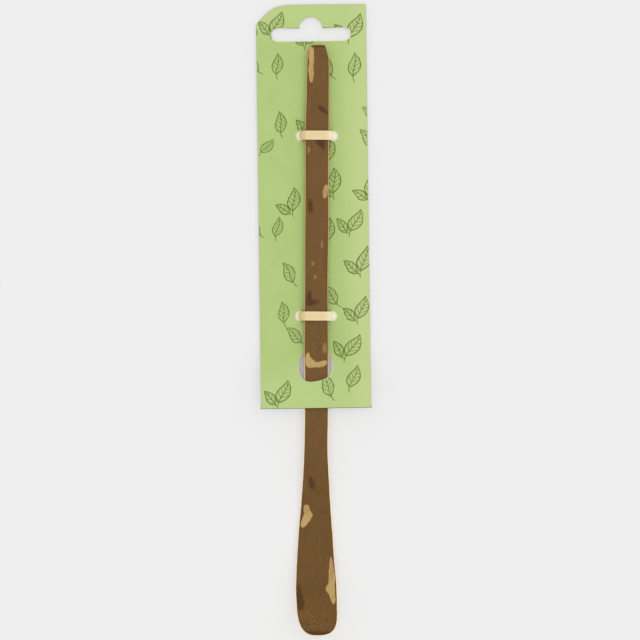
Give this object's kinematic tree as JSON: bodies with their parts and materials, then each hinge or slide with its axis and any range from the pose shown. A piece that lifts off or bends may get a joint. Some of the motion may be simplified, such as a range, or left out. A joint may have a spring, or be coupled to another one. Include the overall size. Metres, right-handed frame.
{
  "type": "tea scoop on a hang card",
  "caption": "Slim curved bamboo scoop for powdered tea, held on a printed hang card by elastic bands, its bowl passing down through a round hole in the card.",
  "frame": {"origin": "centre of the bounding box's bottom face, on the plane of the undersides of the band laps behind the card", "axes": "+X to the right across the card seen from its front, +Y along the scoop towards the handle end and the hang slot, +Z out of the card's front"},
  "size_m": [0.0356, 0.1928, 0.0104],
  "materials": {
    "mottled_bamboo": "satin",
    "printed_board": "satin",
    "elastic": "matte"
  },
  "bodies": {
    "card": {"hang_card": "printed_board", "upper_band": "elastic", "lower_band": "elastic"},
    "scoop": {"tea_scoop": "mottled_bamboo"}
  },
  "joints": [
    {"name": "scoop_slide", "type": "slide", "parent": "card", "child": "scoop", "axis": [0, -1, 0], "range_m": [-0.02, 0.113]}
  ]
}
